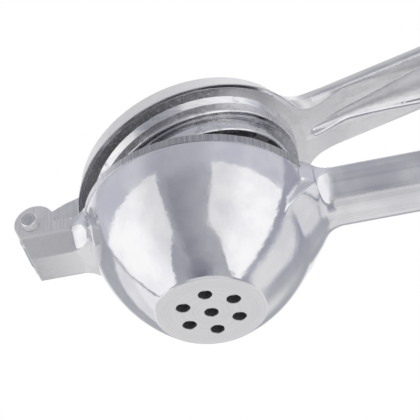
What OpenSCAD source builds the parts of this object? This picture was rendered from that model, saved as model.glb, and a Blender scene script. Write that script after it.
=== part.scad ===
// Hinged lemon squeezer: two cast jaws that turn on one pin.
// Z is the bowl's axis, the origin is the middle of its flat base, and the handles point along +X.
// The upper jaw is drawn shut, flange on rim, and is then turned up about the pin by open_angle.

/* [Bowl] */
// Outer diameter of the bowl at its rim
rim_d = 72.2; // [71:0.2:73]
// Height of the rim above the flat base
rim_h = 35.8; // [35:0.2:37]
// Diameter of the flat base disc
base_d = 31.6; // [30:0.2:33]
// Radius of the bowl's wall, seen in profile
wall_arc_r = 53; // [50:1:58]
// Thickness of the bowl's wall
wall_t = 2.4; // [2:0.1:2.8]
// Thickness of the bowl's floor
floor_t = 3; // [2.4:0.2:4]
// Height of the ground band around the rim
band_h = 2.6; // [2:0.2:3.4]
// How far the ground band stands out from the wall
band_out = 0.25; // [0.1:0.05:0.4]

/* [Juice holes] */
// Diameter of each juice hole
juice_hole_d = 4; // [3:0.2:5]
// Diameter of the ring that the outer holes sit on
juice_ring_d = 17; // [15:0.5:20]
// Number of holes in the ring
juice_ring_count = 6; // [5:1:7]

/* [Hinge] */
// Distance from the bowl's axis to the pin
pin_x = 50.8; // [50.6:0.2:51.6]
// Height of the pin above the rim plane
pin_above_rim = 0.2; // [0:0.1:0.6]
// Diameter of the hinge pin
pin_d = 5; // [4.6:0.2:5.4]
// How far the pin stands out from each ear
pin_proud = 2.9; // [1:0.1:4]
// Radial clearance between the pin and the tongue
pin_clearance = 0.06; // [0.02:0.01:0.1]
// Width of the hinge lug across both ears
lug_w = 21; // [20:0.5:22]
// Width of the tongue between the ears
tongue_w = 11; // [10:0.5:12]
// Gap between the tongue and each ear
ear_gap = 0.35; // [0.3:0.05:0.5]
// Radius of the rounded top of each ear
ear_r = 6.2; // [6:0.1:6.6]
// Radius of the tongue's knuckle around the pin
knuckle_r = 5.4; // [5:0.1:5.5]

/* [Plunger] */
// Outer diameter of the flange at its lower edge
flange_d = 75.6; // [75:0.2:76]
// Height of the flange's outer side
flange_h = 7.4; // [6.6:0.2:7.8]
// How far the side of the flange leans in over its height
flange_draft = 2.9; // [2:0.1:3.2]
// How far the middle of the flange and plunger lies beyond the middle of the bowl, away from the pin
head_shift = 0.9; // [0:0.1:0.9]
// Gap between the flange and the rim when the jaws are shut
shut_gap = 0.25; // [0.1:0.05:0.3]

/* [Handles] */
// Distance from the bowl's axis to the ends of both handles
handle_end = 158; // [140:2:180]
// Half width of the lower handle at its flat top
lower_half_w = 11.2; // [10.4:0.2:11.4]
// Depth of the lower handle under its flat top
lower_depth = 9.6; // [9:0.2:10.4]
// Half width of the upper handle
upper_half_w = 12.5; // [12:0.25:13]
// Rise of the upper handle's back above its side edges
upper_back = 8.9; // [8:0.1:9.6]
// Drop of the upper handle's belly below its side edges
upper_belly = 3.2; // [3:0.1:3.6]
// Height of the upper handle's side edges above the rim plane
upper_edge_h = 2.8; // [2.6:0.1:3.2]
// Wall thickness left around each handle's channel
handle_wall = 2.6; // [2.2:0.1:3]

/* [Opening] */
// Angle from shut to the pose shown, jaws ajar
open_angle = 16; // [4:1:60]

/* [Hidden] */
$fn = 96;
eps = 0.01;
cast_color = [0.78, 0.78, 0.80];
pin_color = [0.66, 0.66, 0.69];

rim_r = rim_d / 2;
base_r = base_d / 2;
wall_top_r = rim_r - band_out;
wall_top_z = rim_h - band_h;
pin_z = rim_h + pin_above_rim;
pin_r = pin_d / 2;
pin_len = lug_w + 2 * pin_proud;
pin_edge = 0.35;
far = 200;

// Centre of the wall's arc, which runs from the base's edge to the foot of the ground band.
wall_chord = [wall_top_r - base_r, wall_top_z];
wall_half = norm(wall_chord) / 2;
wall_rise = sqrt(wall_arc_r * wall_arc_r - wall_half * wall_half);
wall_normal = [-wall_chord[1], wall_chord[0]] / norm(wall_chord);
wall_centre = [base_r, 0] + wall_chord / 2 + wall_normal * wall_rise;

// Lug under the hinge: a block with drafted flanks and a flat underside.
lug_end = -54.3;
lug_foot_end = -52.4;
lug_top = rim_h;
lug_flank_z = 31.9;
lug_foot_z = 27;
lug_foot_half_w = 5.6;
ear_centre = [-49.95, rim_h + 1.2];
ear_front = -38.8;
ear_top = rim_h + 0.3;
slot_half_w = tongue_w / 2 + ear_gap;
slot_r = knuckle_r + 0.7;

// Neck between the bowl and the lower handle: a cone about the handle's own centre line, which
// runs out into the handle through a round arc.
neck_start = 28;
neck_end = 41;
neck_arc_r = 8;
neck_slope = 48;
lower_top = rim_h - 0.5;
lower_r = chord_r(lower_half_w, lower_depth);
lower_axis_z = lower_top - lower_depth + lower_r;
neck_arc_start = neck_end - neck_arc_r * sin(neck_slope);
neck_arc_top_r = lower_r + neck_arc_r * (1 - cos(neck_slope));
neck_start_r = neck_arc_top_r + (neck_arc_start - neck_start) * tan(neck_slope);
neck_overlap = 1;

// Plunger profile below the flange: radius and depth of each step, from the flange inwards.
flange_r = flange_d / 2;
flange_base = rim_h + shut_gap;
flange_top = rim_h + flange_h;
handle_root_r = flange_r - flange_draft - 0.3;
step_outline = [
    [32.75, 0], [31.85, 1.5], [31.75, 4.5], [31.3, 4.8], [30.2, 4.8], [30.1, 5.3], [29.6, 5.3],
    [29.5, 4.8], [29, 4.8], [28.4, 9.2], [25.7, 9.2], [24.8, 13.4], [21.8, 13.4],
    [20.7, 17.4], [16.8, 17.4], [15.5, 21.2], [0, 22]
];
dish_outline = [
    [0, 18.6], [13.2, 18.2], [18.4, 14], [22.8, 9.6], [26, 5], [29.4, 0]
];
dish_rim_r = 33;

// Upper handle: a lens-shaped section, two arcs that meet at the side edges.
upper_edge_z = rim_h + upper_edge_h;
back_r = chord_r(upper_half_w, upper_back);
back_z = upper_edge_z + upper_back - back_r;
belly_r = chord_r(upper_half_w, upper_belly);
belly_z = upper_edge_z - upper_belly + belly_r;
upper_start = 33.5;
neck_plate_top = rim_h + 5.3;
keel_end = 43.6;
belly_flush_x = 37;
belly_low_x = 76;
belly_low_z = rim_h + 0.25;
back_slope_end = 58;

// Round fillets between the flange and the sides of the upper handle. Each sinks a little
// into the flange, so that the two faces cross instead of only touching. They widen and lean
// towards the flange as they rise, to follow its drafted side.
neck_fillet = 6;
neck_draft = 1.2;
fillet_sink = 0.1;
fillet_over = 2;
plate_rise = neck_plate_top - flange_base;
flange_lean = flange_draft / (flange_top - flange_base);
fillet_y = upper_half_w + neck_fillet;
fillet_reach = flange_r + neck_fillet - fillet_sink;
fillet_top_reach = fillet_reach + neck_draft - flange_lean * plate_rise;
fillet_x = head_shift + sqrt(fillet_reach * fillet_reach - fillet_y * fillet_y);
fillet_top_x = head_shift + sqrt(fillet_top_reach * fillet_top_reach - fillet_y * fillet_y);
fillet_tilt = atan((fillet_x - fillet_top_x) / plate_rise);
fillet_rate = neck_draft / plate_rise;
fillet_length = plate_rise + 2 * fillet_over;
keel_top_half_w = upper_half_w - fillet_rate * (upper_edge_z - flange_base);

// Channels in both handles: a narrow tip near the neck that widens to the full hollow.
channel_tip = 41;
channel_tip_half_w = 1.6;
channel_wide_x = 100;
channel_end_wall = 4;
channel_deep_x = 66;
upper_channel_roof = upper_edge_z + upper_back - handle_wall;
upper_channel_tip_roof = upper_edge_z + 2;

// Radius of the arc through both ends and the middle of a chord with the given half width and rise.
function chord_r(half_w, rise) = (half_w * half_w + rise * rise) / (2 * rise);

// Points of a profile given by radius and depth under the rim plane, lifted to real height.
function under_rim(points, lift) = [for (p = points) [p[0], rim_h + lift - p[1]]];

// Turns its children up about the hinge pin.
module opened(angle) {
    translate([-pin_x, 0, pin_z])
        rotate([0, -angle, 0])
            translate([pin_x, 0, -pin_z])
                children();
}

// Extrudes an outline drawn in X and Z across Y, centred.
module across(width) {
    rotate([90, 0, 0])
        linear_extrude(width, center = true)
            children();
}

// Bar with a round section and a round far end, its centre line along X at height z.
module bullet(r, z, start, end) {
    translate([start, 0, z])
        rotate([0, 90, 0])
            cylinder(r = r, h = end - r - start);
    translate([end - r, 0, z])
        sphere(r = r);
}

// Outline of a handle's channel seen from above: narrow round tip, then wide with a round end.
module channel_plan(half_w, end) {
    polygon([
        [channel_tip, -channel_tip_half_w], [channel_wide_x, -half_w],
        [channel_wide_x, half_w], [channel_tip, channel_tip_half_w]
    ]);
    translate([channel_tip, 0])
        circle(r = channel_tip_half_w);
    translate([channel_wide_x - eps, -half_w])
        square([end - half_w - channel_wide_x + eps, 2 * half_w]);
    translate([end - half_w, 0])
        circle(r = half_w);
}

// Outer profile of the bowl, from the axis to the wall and the ground band.
module bowl_profile() {
    intersection() {
        translate(wall_centre)
            circle(r = wall_arc_r, $fn = 256);
        square([wall_top_r, wall_top_z]);
    }
    translate([0, wall_top_z - eps])
        square([rim_r, band_h + eps]);
}

// Profile of the bowl's hollow: the same arc, one wall thickness further in.
module hollow_profile() {
    intersection() {
        translate(wall_centre)
            circle(r = wall_arc_r - wall_t, $fn = 256);
        translate([0, floor_t])
            square([rim_r, rim_h]);
    }
}

module juice_holes() {
    translate([0, 0, -1])
        cylinder(d = juice_hole_d, h = floor_t + 2, $fn = 48);
    for (i = [0:juice_ring_count - 1])
        rotate([0, 0, 30 + i * 360 / juice_ring_count])
            translate([juice_ring_d / 2, 0, -1])
                cylinder(d = juice_hole_d, h = floor_t + 2, $fn = 48);
}

// Lug with two ears that carry the pin, as a solid block before the tongue's slot is cut.
module lug_block() {
    intersection() {
        rotate([90, 0, 90])
            translate([0, 0, lug_end])
                linear_extrude(-lug_end - base_r)
                    polygon([
                        [-lug_w / 2, lug_top], [-lug_w / 2, lug_flank_z],
                        [-lug_foot_half_w, lug_foot_z], [lug_foot_half_w, lug_foot_z],
                        [lug_w / 2, lug_flank_z], [lug_w / 2, lug_top]
                    ]);
        across(2 * lug_w)
            polygon([
                [lug_end, rim_h], [lug_end, lug_flank_z], [lug_foot_end, lug_foot_z],
                [-base_r, lug_foot_z], [-base_r, rim_h]
            ]);
    }
    across(lug_w) {
        intersection() {
            translate(ear_centre)
                circle(r = ear_r);
            translate([-far, lug_flank_z])
                square([far, far]);
        }
        translate([ear_centre[0], lug_flank_z])
            square([ear_front - ear_centre[0], ear_top - lug_flank_z]);
    }
}

// Slot for the tongue: round about the pin, open upwards and at the end.
module tongue_slot() {
    across(2 * slot_half_w) {
        translate([-pin_x, pin_z])
            circle(r = slot_r);
        translate([-pin_x - slot_r, pin_z])
            square([slot_r + pin_x + ear_front + 1, far]);
    }
}

module pin_bore(r) {
    translate([-pin_x, 0, pin_z])
        rotate([90, 0, 0])
            cylinder(r = r, h = lug_w + 2, center = true);
}

// Cone from the side of the bowl, and the arc that leads it into the lower handle.
module lower_neck() {
    translate([0, 0, lower_axis_z])
        rotate([0, 90, 0]) {
            translate([0, 0, neck_start])
                cylinder(r1 = neck_start_r, r2 = neck_arc_top_r, h = neck_arc_start - neck_start);
            rotate_extrude()
                difference() {
                    translate([0, neck_arc_start - neck_overlap])
                        square([neck_arc_top_r, neck_end - neck_arc_start + neck_overlap]);
                    translate([lower_r + neck_arc_r, neck_end])
                        circle(r = neck_arc_r, $fn = 256);
                }
        }
}

// Everything above the lower handle's flat top.
module above(z) {
    translate([-far, -far, z])
        cube([2 * far, 2 * far, far]);
}

module lower_handle() {
    difference() {
        union() {
            lower_neck();
            bullet(lower_r, lower_axis_z, neck_start, handle_end);
        }
        above(lower_top);
        intersection() {
            bullet(lower_r - handle_wall, lower_axis_z, neck_start, handle_end - handle_wall);
            linear_extrude(far)
                channel_plan(lower_half_w - handle_wall, handle_end - channel_end_wall);
        }
    }
}

module lower_jaw() {
    color(cast_color)
        difference() {
            union() {
                rotate_extrude()
                    bowl_profile();
                lug_block();
                lower_handle();
            }
            rotate_extrude()
                hollow_profile();
            juice_holes();
            tongue_slot();
            pin_bore(pin_r);
        }
}

// Flange and stepped plunger in one, hollowed from above by a plain dish.
module plunger() {
    rotate_extrude()
        difference() {
            polygon(concat(
                [[0, flange_top], [flange_r - flange_draft, flange_top], [flange_r, flange_base]],
                under_rim(step_outline, shut_gap)
            ));
            polygon(concat(
                under_rim(dish_outline, 0),
                [[dish_rim_r, flange_top + 1], [0, flange_top + 1]]
            ));
        }
}

// Tongue that reaches from the flange to the pin.
module tongue() {
    arm_low = rim_h + 0.6;
    arm_knee = [-39, rim_h + 7.9];
    arm_top = [-33, rim_h + 8.2];
    across(tongue_w) {
        translate([-pin_x, pin_z])
            circle(r = knuckle_r);
        polygon([
            [-pin_x, pin_z + knuckle_r], arm_knee, arm_top, [arm_top[0], arm_low], [-pin_x, arm_low]
        ]);
    }
}

// Plate between the flange and the upper handle, narrowed by a drafted round fillet on each side,
// and the keel that carries its underside on until the handle's own edge takes over.
module neck_plate() {
    rotate([90, 0, 90])
        translate([0, 0, fillet_x - eps])
            linear_extrude(keel_end - fillet_x + eps)
                polygon([
                    [-upper_half_w, flange_base], [upper_half_w, flange_base],
                    [keel_top_half_w, upper_edge_z], [-keel_top_half_w, upper_edge_z]
                ]);
    difference() {
        translate([0, 0, rim_h])
            linear_extrude(neck_plate_top - rim_h)
                polygon([[head_shift, 0], [fillet_x, -fillet_y], [fillet_x, fillet_y]]);
        for (side = [-1, 1])
            translate([fillet_x, side * fillet_y, flange_base])
                rotate([0, -fillet_tilt, 0])
                    translate([0, 0, -fillet_over])
                        cylinder(
                            r1 = neck_fillet - fillet_rate * fillet_over,
                            r2 = neck_fillet + fillet_rate * (fillet_length - fillet_over),
                            h = fillet_length
                        );
    }
}

// Hollow of the upper handle: it starts shallow at the tip and deepens along the handle.
module upper_channel() {
    intersection() {
        bullet(back_r - handle_wall, back_z, upper_start, handle_end - handle_wall);
        linear_extrude(far)
            channel_plan(upper_half_w - handle_wall - 0.6, handle_end - channel_end_wall);
        across(2 * far)
            polygon([
                [upper_start, 0], [upper_start, upper_channel_tip_roof],
                [channel_tip, upper_channel_tip_roof], [channel_deep_x, upper_channel_roof],
                [far, upper_channel_roof], [far, 0]
            ]);
    }
}

// Lens-shaped bar. Its underside climbs from the flange, then falls to the belly, and its back
// slopes down to the top of the flange.
module upper_handle() {
    difference() {
        union() {
            intersection() {
                bullet(back_r, back_z, upper_start, handle_end);
                translate([upper_start, 0, belly_z])
                    rotate([0, 90, 0])
                        cylinder(r = belly_r, h = far, $fn = 192);
            }
            neck_plate();
        }
        across(2 * far)
            polygon([
                [0, 0], [0, flange_base], [belly_flush_x, flange_base],
                [keel_end, upper_edge_z - 0.2], [belly_low_x, belly_low_z], [far, belly_low_z], [far, 0]
            ]);
        across(2 * far)
            polygon([
                [upper_start, flange_top], [upper_start, far], [back_slope_end, far],
                [back_slope_end, upper_edge_z + upper_back]
            ]);
        upper_channel();
    }
}

module upper_jaw() {
    color(cast_color)
        opened(open_angle)
            difference() {
                union() {
                    translate([head_shift, 0, 0])
                        plunger();
                    tongue();
                    difference() {
                        upper_handle();
                        translate([head_shift, 0, 0])
                            cylinder(r = handle_root_r, h = far);
                    }
                }
                pin_bore(pin_r + pin_clearance);
            }
}

module hinge_pin() {
    color(pin_color)
        translate([-pin_x, 0, pin_z])
            rotate([90, 0, 0])
                rotate_extrude()
                    polygon([
                        [0, -pin_len / 2], [pin_r - pin_edge, -pin_len / 2],
                        [pin_r, pin_edge - pin_len / 2], [pin_r, pin_len / 2 - pin_edge],
                        [pin_r - pin_edge, pin_len / 2], [0, pin_len / 2]
                    ]);
}

lower_jaw();
upper_jaw();
hinge_pin();
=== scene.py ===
"""Looks of the hinged lemon squeezer: two polished aluminium castings and a steel hinge pin.

Each casting is a distance field in millimetres, negative inside, with the same sizes as the CAD
part but with the fillets and softened edges of a real casting. The field is meshed on a grid. The
turned shapes are lathed: the plunger's steps, the rim's ground band, the flange's lip and the pin.
Each vertex carries marks that say how that place is finished and where shade or highlight is
painted on, and the materials read them.
"""
import math

import bpy
import numpy as np
from mathutils import Matrix


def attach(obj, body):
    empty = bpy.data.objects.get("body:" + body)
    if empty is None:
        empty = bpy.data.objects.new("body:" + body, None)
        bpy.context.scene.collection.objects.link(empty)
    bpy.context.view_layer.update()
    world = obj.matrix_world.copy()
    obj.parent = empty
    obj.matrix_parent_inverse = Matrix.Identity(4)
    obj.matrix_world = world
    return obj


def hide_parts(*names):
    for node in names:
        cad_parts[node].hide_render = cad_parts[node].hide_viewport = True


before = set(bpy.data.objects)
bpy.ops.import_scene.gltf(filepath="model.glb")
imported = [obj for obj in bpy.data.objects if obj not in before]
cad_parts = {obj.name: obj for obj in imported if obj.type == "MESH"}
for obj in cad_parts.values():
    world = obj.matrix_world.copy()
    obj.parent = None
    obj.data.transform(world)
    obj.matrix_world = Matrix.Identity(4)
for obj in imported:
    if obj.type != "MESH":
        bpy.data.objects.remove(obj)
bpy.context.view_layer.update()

MM = 0.001
# the castings' grid, in millimetres, and how many triangles each may keep
GRID = 0.42
MOST_TRIANGLES = 195000

# ---------------------------------------------------------------- sizes, in millimetres
# bowl: its wall is an arc turned about Z, with its centre at (radius, height) and its radius
RIM_H = 35.8
RIM_R = 36.1
WALL_C = (-16.3976, 42.0989)
WALL_R = 53.0
WALL_T = 2.4
FLOOR = 3.0
BASE_R = 15.8
HOLE_R = 2.0
HOLE_RING = 8.5
HOLE_OFF = 0.3
# the rim's ground band stands proud of the casting, and tops it
BAND_H = 2.6
BAND_PROUD = 0.12
BAND_RISE = 0.1

# hinge pin, and the lower jaw's lug with its two ears: (X, Z, radius) of their round end
PIN_X, PIN_Z = -50.8, 36.0
PIN_R = 2.5
PIN_HALF = 13.4
# the bores are drawn a little under the pin's radius, so that no gap shows round it
BORE_LOWER, BORE_UPPER = PIN_R - 0.1, PIN_R - 0.05
EAR = (-49.95, 37.0, 6.2)
EAR_TOP = 36.1
EAR_ROOT = -38.4
LUG_HALF = 10.5
LUG_FOOT = 27.0
LUG_FOOT_END = -52.4
LUG_END = -54.3
LUG_ROOT = -8.0
LUG_FILLET = 5.0
FLANK_Z = 31.9
SLOT_HALF = 5.85
SLOT_R = 6.1
SLOT_ROOT = -37.8

# lower handle and its neck; the slope is in degrees, and eases off underneath
HANDLE_END = 158.0
HANDLE_WALL = 2.6
CHANNEL_END = HANDLE_END - 4.0
LOWER_R = 11.5
LOWER_Z = 37.2
LOWER_TOP = 35.7
LOWER_CHANNEL = ((41.0, 1.6), (100.0, 8.6))
NECK_ARC = 8.0
NECK_START, NECK_END = 20.0, 41.0
NECK_SLOPE = 60.0
NECK_SLOPE_EASE = 10.0
NECK_CAP = 15.5
NECK_CAP_DROP = 12.0

# upper jaw, drawn shut: flange, tongue, and a handle between two arcs, its back and its belly
OPEN_DEG = 16.0
HEAD_SHIFT = 0.9
FLANGE_R = 37.8
FLANGE_BASE = 36.05
FLANGE_TOP = 43.2
FLANGE_DRAFT = 0.4056
LIP_R = 36.4
LIP_PROUD = 0.03
LIP_DEEP = 1.9
# the groove fades in between two angles from the neck; before them its floor lies outside
RECESS_DEEP, RECESS_OUT = 0.4, 0.4
RECESS_TURN = (math.radians(24), math.radians(50))
TONGUE_HALF = 5.5
KNUCKLE_R = 5.4
TONGUE_FOOT, TONGUE_ROOT, TONGUE_INNER = 36.4, -33.0, 34.5
TONGUE_BACK = ((PIN_X, 41.4), (-39.0, 43.7), (TONGUE_ROOT, 44.0))
DISH_WALL = ((29.4, 35.8), (33.0, 44.2))
BACK_R, BACK_Z = 13.228, 34.272
BELLY_R, BELLY_Z = 26.014, 61.414
UPPER_START = 31.0
UPPER_HALF = 12.5
UPPER_EDGE = 38.6
UPPER_RAMP = ((33.5, FLANGE_TOP - 0.4), (58.0, 47.5))
SLAB_START, SLAB_END, SLAB_TOP = 20.0, 58.0, 42.6
# the upper handle's channel: its half width and depth at stations along X
TROUGH_X = (41.0, 51.0, 59.0, 68.0, 76.0, 92.0, 112.0)
TROUGH_HALF = (1.6, 2.6, 3.7, 5.4, 7.0, 8.8, 9.5)
TROUGH_DEEP = (2.0, 2.9, 3.6, 4.4, 5.0, 6.4, 7.4)
TROUGH_Z = 36.6

# the plunger's outside steps and its dish, as (radius, depth under the flange or the rim, corner)
SHUT_GAP = 0.25
UNDER = RIM_H + SHUT_GAP
STEPS = [
    (33.3, -2.0, 0), (33.0, -0.3, 0.1), (31.85, 1.5, 0.7), (31.75, 4.5, 0.5), (31.3, 4.8, 0.15),
    (30.2, 4.8, 0.1), (30.1, 5.3, 0.1), (29.6, 5.3, 0.1), (29.5, 4.8, 0.1), (29.0, 4.8, 0.1),
    (28.4, 9.2, 0.8), (25.7, 9.2, 0.6), (24.8, 13.4, 0.5), (21.8, 13.4, 0.8), (20.7, 17.4, 0.6),
    (16.8, 17.4, 0.8), (15.5, 21.2, 0.8), (0.02, 22.0, 0),
]
DISH = [
    (0.02, 18.6, 0), (13.2, 18.2, 4), (18.4, 14.0, 4), (22.8, 9.6, 4), (26.0, 5.0, 4),
    (29.4, 0.0, 4), (30.4, -2.0, 0),
]


# ---------------------------------------------------------------- distance field tools
def union_round(a, b, r):
    """Union of two fields with a concave fillet of radius r."""
    return np.maximum(r, np.minimum(a, b)) - np.hypot(np.maximum(r - a, 0), np.maximum(r - b, 0))


def meet_round(a, b, r):
    """Intersection of two fields with a rounded outer edge of radius r."""
    return np.minimum(-r, np.maximum(a, b)) + np.hypot(np.maximum(r + a, 0), np.maximum(r + b, 0))


def cut_round(a, b, r):
    """Field a less field b, the rim of the cut rounded with radius r."""
    return meet_round(a, -b, r)


def soft_step(value, lo, hi):
    """0 at lo, 1 at hi, smooth between; lo may be the larger one."""
    t = np.clip((value - lo) / (hi - lo), 0, 1)
    return t * t * (3 - 2 * t)


def line_side(x, z, p, q):
    """Signed distance from the line through p and q, positive on its left."""
    dx, dz = q[0] - p[0], q[1] - p[1]
    return ((z - p[1]) * dx - (x - p[0]) * dz) / math.hypot(dx, dz)


def bullet(x, y, z, r, axis_z, end):
    """Round bar along X with a round far end."""
    return np.sqrt(np.maximum(x - (end - r), 0) ** 2 + y ** 2 + (z - axis_z) ** 2) - r


def channel_plan(x, y, widths, end):
    """Plan of a handle's channel from (x, half width) stations, round at both ends."""
    at, half = zip(*widths)
    before = np.maximum(at[0] - x, 0)
    after = np.maximum(x - (end - half[-1]), 0)
    return np.hypot(y, before + after) - np.interp(x, at, half)


def to_holes(x, y):
    """Plan distance to each juice hole's edge: a ring of six, then the middle one."""
    ring = [math.radians(30 + 60 * i) for i in range(6)]
    centres = [(HOLE_RING * math.cos(a), HOLE_RING * math.sin(a)) for a in ring] + [(0.0, 0.0)]
    return [np.hypot(x - hx, y - hy - HOLE_OFF) - HOLE_R for hx, hy in centres]


def to_pin(x, z):
    """Side view distance to the hinge pin's axis."""
    return np.hypot(x - PIN_X, z - PIN_Z)


# ---------------------------------------------------------------- lower jaw
def lug_field(x, y, z, wall):
    """The lug and its two ears share flat sides, which flare into the bowl, and one side view."""
    ay = np.abs(y)
    flank = ((ay - LUG_HALF) - (z - FLANK_Z)) * math.sqrt(0.5)
    sides = np.maximum(meet_round(ay - LUG_HALF, flank, 0.7), x + BASE_R)
    sides = union_round(wall, sides, LUG_FILLET)
    ear = np.hypot(x - EAR[0], z - EAR[1]) - EAR[2]
    block = np.maximum(np.maximum(EAR[0] - x, x - EAR_ROOT), np.maximum(FLANK_Z - z, z - EAR_TOP))
    end = np.maximum(LUG_END - x, -line_side(x, z, (LUG_END, FLANK_Z), (LUG_FOOT_END, LUG_FOOT)))
    bar = np.maximum(np.maximum(LUG_FOOT - z, z - RIM_H + BAND_RISE), np.maximum(end, x - LUG_ROOT))
    outline = union_round(ear, np.minimum(block, bar), 0.8)
    return meet_round(sides, outline, 0.22)


def lower_handle_field(x, y, z, rad):
    """The handle, and the neck that flares out of it through a round arc.

    At its sides the arc ends in a soft ridge at the bowl, and underneath it runs on as a cone that
    meets the bowl lower down.
    """
    under = soft_step((LOWER_Z - z) / np.maximum(rad, 1.0), 0.45, 0.85)
    slope = np.radians(NECK_SLOPE - NECK_SLOPE_EASE * under)
    run = x - (NECK_END - NECK_ARC * np.sin(slope))
    rise = rad - (LOWER_R + NECK_ARC * (1 - np.cos(slope)))
    cone = run * np.sin(slope) + rise * np.cos(slope)
    on_cone = run * np.cos(slope) < rise * np.sin(slope)
    flare = NECK_ARC - np.hypot(x - NECK_END, rad - (LOWER_R + NECK_ARC))
    cap = rad - (NECK_CAP + NECK_CAP_DROP * under)
    flare = meet_round(np.where(on_cone, cone, flare), cap, 1.5)
    flare = np.maximum(flare, NECK_START - x)
    bar = np.where(x < NECK_END, flare, bullet(x, y, z, LOWER_R, LOWER_Z, HANDLE_END))
    return meet_round(bar, z - LOWER_TOP, 0.35)


def lower_field(x, y, z):
    """The lower casting: bowl, lug and handle, less its hollow, holes, slot and bore."""
    rho = np.hypot(x, y)
    top = RIM_H - BAND_RISE
    arc = np.hypot(rho - WALL_C[0], z - WALL_C[1])
    wall = meet_round(arc - WALL_R, rho - (RIM_R - BAND_PROUD), 0.3)
    bowl = meet_round(meet_round(wall, -z, 0.4), z - top, 0.4)
    body = np.minimum(bowl, lug_field(x, y, z, arc - (WALL_R - BAND_PROUD)))

    # the neck's fillet fades out away from the handle, where the two surfaces run close together
    rad = np.hypot(y, z - LOWER_Z)
    fillet = 0.3 + 3.2 * soft_step(rad, 23.0, 14.0)
    body = union_round(body, lower_handle_field(x, y, z, rad), fillet)
    body = np.maximum(body, np.where(x > 0.0, z - top, -9.0))
    inner = bullet(x, y, z, LOWER_R - HANDLE_WALL, LOWER_Z, HANDLE_END - HANDLE_WALL)
    channel = meet_round(inner, channel_plan(x, y, LOWER_CHANNEL, CHANNEL_END), 0.6)
    body = cut_round(body, channel, 0.5)

    hollow = meet_round(arc - (WALL_R - WALL_T), FLOOR - z, 2.0)
    body = cut_round(body, hollow, 0.4)
    for hole in to_holes(x, y):
        body = cut_round(body, hole, 0.15)
    slot = np.minimum(
        to_pin(x, z) - SLOT_R,
        np.maximum(np.maximum(PIN_X - SLOT_R - x, x - SLOT_ROOT), PIN_Z - z),
    )
    body = cut_round(body, meet_round(slot, np.abs(y) - SLOT_HALF, 0.3), 0.3)
    return np.maximum(body, BORE_LOWER - to_pin(x, z))


# ---------------------------------------------------------------- upper jaw, drawn shut
def upper_handle_field(x, y, z, to_rim):
    """The handle's bar, and the slab that joins it to the flange with a fillet on each side."""
    back = bullet(x, y, z, BACK_R, BACK_Z, HANDLE_END)
    belly = np.hypot(y, z - BELLY_Z) - BELLY_R
    bar = np.maximum(meet_round(back, belly, 1.3), UPPER_START - x)
    bar = meet_round(bar, line_side(x, z, *UPPER_RAMP), 2.5)
    half = np.interp(z, [FLANGE_BASE, UPPER_EDGE, 41.5], [10.3, UPPER_HALF, UPPER_HALF - 1.3])
    half = half - 2.4 * soft_step(x, 38.0, 56.0)
    fillet = np.interp(z, [FLANGE_BASE, 43.0], [4.5, 6.5])
    slab = union_round(to_rim, np.maximum(np.abs(y) - half, -x), fillet)
    slab = meet_round(np.maximum(slab, SLAB_START - x), z - SLAB_TOP, 0.8)
    slab = np.maximum(slab, x - SLAB_END)
    return bar, slab


def tongue_field(x, y, z, rho):
    """The hinge tongue: a round knuckle on an arm that rises to the flange's top."""
    arm = np.maximum(line_side(x, z, *TONGUE_BACK[:2]), line_side(x, z, *TONGUE_BACK[1:]))
    arm = np.maximum(arm, np.maximum(np.maximum(TONGUE_FOOT - z, x - TONGUE_ROOT), PIN_X - x))
    arm = union_round(arm, to_pin(x, z) - KNUCKLE_R, 1.0)
    arm = meet_round(arm, np.abs(y) - TONGUE_HALF, 0.45)
    return np.maximum(arm, TONGUE_INNER - rho)


def trough_field(x, y, z):
    """The channel: a trough with a round bottom that widens and deepens from its tip."""
    half, deep = np.interp(x, TROUGH_X, TROUGH_HALF), np.interp(x, TROUGH_X, TROUGH_DEEP)
    past = np.maximum(TROUGH_X[0] - x, 0) + np.maximum(x - (CHANNEL_END - TROUGH_HALF[-1]), 0)
    across = np.hypot(np.hypot(y, past) / half, np.maximum(z - TROUGH_Z, 0) / deep)
    return (across - 1) * np.minimum(half, deep)


def upper_field(x, y, z):
    """The upper casting: flange, handle with its channel, groove, tongue and dish."""
    rho = np.hypot(x - HEAD_SHIFT, y)
    turn = np.abs(np.arctan2(y, x - HEAD_SHIFT))
    to_rim = rho - (FLANGE_R - FLANGE_DRAFT * (z - FLANGE_BASE))
    flange = meet_round(to_rim / math.hypot(1, FLANGE_DRAFT), z - FLANGE_TOP, 0.7)
    bar, slab = upper_handle_field(x, y, z, to_rim)
    jaw = np.minimum(union_round(flange, bar, 1.2), union_round(bar, slab, 0.8))
    low = FLANGE_BASE + 2.0 * (soft_step(x, 38.0, 53.0) - soft_step(x, 50.0, 92.0))
    jaw = meet_round(jaw, low - z, 0.3)
    jaw = cut_round(jaw, trough_field(x, y, z), 0.8)

    # shallow groove round the plunger's foot, which runs out before the neck
    depth = (RECESS_DEEP + RECESS_OUT) * soft_step(turn, *RECESS_TURN) - RECESS_OUT
    jaw = cut_round(jaw, np.maximum(rho - LIP_R, z - FLANGE_BASE - depth), 0.22)

    jaw = union_round(jaw, tongue_field(x, y, z, rho), 1.3)
    inside = -line_side(rho, z, *DISH_WALL)
    jaw = cut_round(jaw, inside, 0.6)
    return np.maximum(jaw, BORE_UPPER - to_pin(x, z))


# ---------------------------------------------------------------- meshing
def spread(coarse, step, shape):
    """Repeats each value step times each way, then trims or pads the result to a shape."""
    for axis in range(3):
        coarse = np.repeat(coarse, step, axis=axis)
    coarse = coarse[: shape[0], : shape[1], : shape[2]]
    return np.pad(coarse, [(0, n - k) for n, k in zip(shape, coarse.shape)], mode="edge")


def gradient(field, p):
    """Gradient and value of a field at points."""
    d = 0.02
    x, y, z = p.T
    g = np.stack([
        field(x + d, y, z) - field(x - d, y, z),
        field(x, y + d, z) - field(x, y - d, z),
        field(x, y, z + d) - field(x, y, z - d),
    ], 1) / (2 * d)
    return g, field(x, y, z)


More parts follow.
